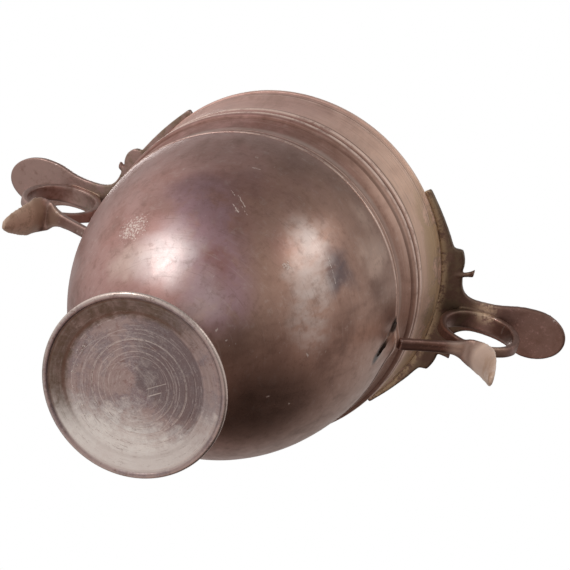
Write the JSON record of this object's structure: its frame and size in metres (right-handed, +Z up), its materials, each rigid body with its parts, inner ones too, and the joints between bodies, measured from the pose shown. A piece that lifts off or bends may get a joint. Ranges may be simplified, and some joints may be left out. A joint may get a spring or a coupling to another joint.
{
  "type": "kantharos",
  "caption": "Ancient silver drinking cup with an egg-shaped bowl on a low turned foot and two cast ring handles with thumb plates.",
  "frame": {"origin": "middle of the underside, on the level that the standing ring of the foot rests on", "axes": "+Z up along the bowl's axis to its mouth, X along the line through both handles, +X on the side with the torn slit"},
  "size_m": [0.1896, 0.108, 0.1292],
  "materials": {
    "silver_sheet": "tarnished silver, satin, brown and violet patina",
    "silver_foot": "tarnished silver, turned, pale with pits and stains",
    "silver_cast": "tarnished cast silver, satin, brown patina with olive dirt in the corners"
  },
  "bodies": {
    "root": {"bowl": "silver_sheet", "foot": "silver_foot", "handle_right": "silver_cast", "handle_left": "silver_cast"}
  },
  "joints": []
}
